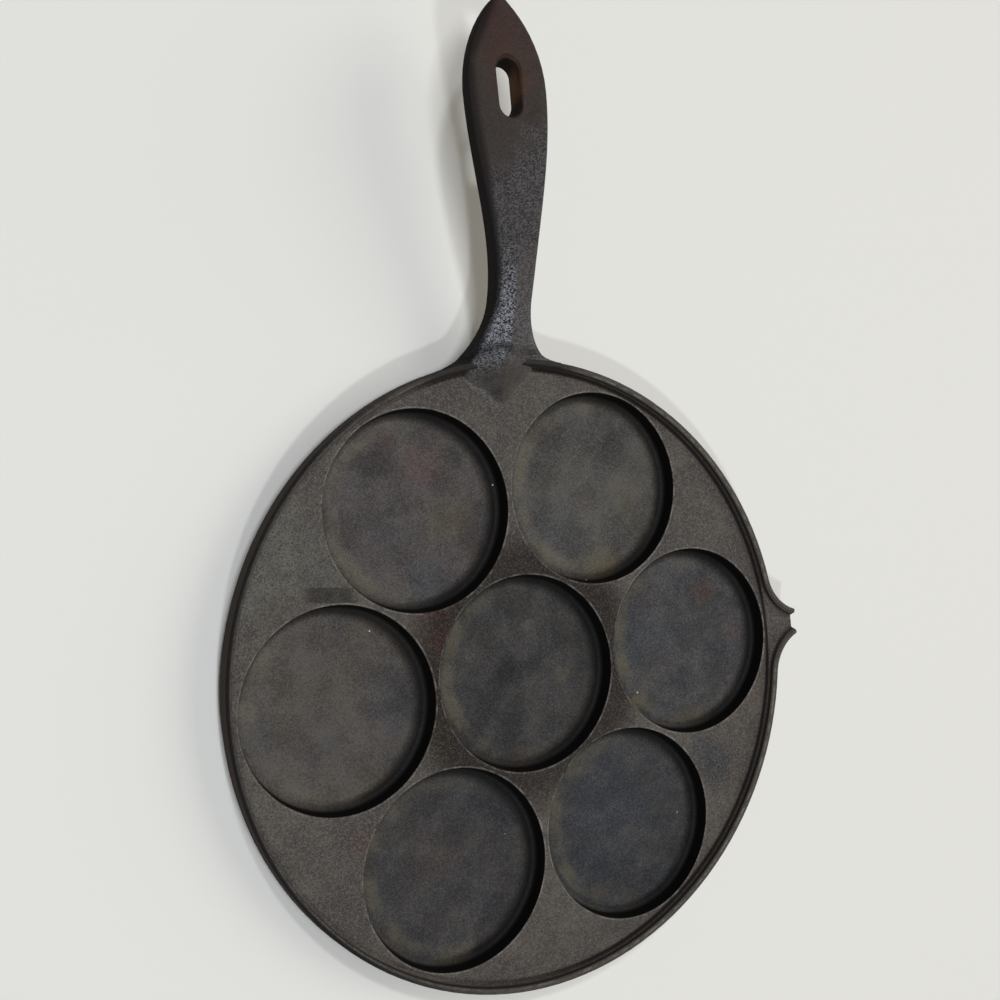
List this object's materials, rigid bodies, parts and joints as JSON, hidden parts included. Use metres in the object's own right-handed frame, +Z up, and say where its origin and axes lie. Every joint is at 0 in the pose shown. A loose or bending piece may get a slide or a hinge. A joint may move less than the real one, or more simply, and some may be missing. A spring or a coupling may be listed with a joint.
{
  "type": "pancake pan",
  "caption": "Round cast iron griddle with shallow flat wells for small pancakes, a low rim, a pouring lip and a rising leaf-shaped handle with a hanging hole.",
  "frame": {"origin": "centre of the middle well's underside, on the plane that the pan rests on", "axes": "+Z up, +Y from the pan's middle along the handle to its point, +X to the pouring lip"},
  "size_m": [0.249, 0.3646, 0.0408],
  "materials": {
    "plate_iron": "seasoned, fine sand-cast grain, dull",
    "well_iron": "seasoned and baked smooth, satin",
    "rim_iron": "seasoned, edges worn by handling",
    "handle_iron": "seasoned, grip worn smooth, light rust in the hole"
  },
  "bodies": {
    "root": {"plate_30": "plate_iron", "plate_90": "plate_iron", "plate_150": "plate_iron", "plate_210": "plate_iron", "plate_270": "plate_iron", "plate_330": "plate_iron", "well_centre": "well_iron", "well_0": "well_iron", "well_60": "well_iron", "well_120": "well_iron", "well_180": "well_iron", "well_240": "well_iron", "well_300": "well_iron", "rim": "rim_iron", "pouring_lip": "rim_iron", "root_gusset": "handle_iron", "handle": "handle_iron"}
  },
  "joints": []
}
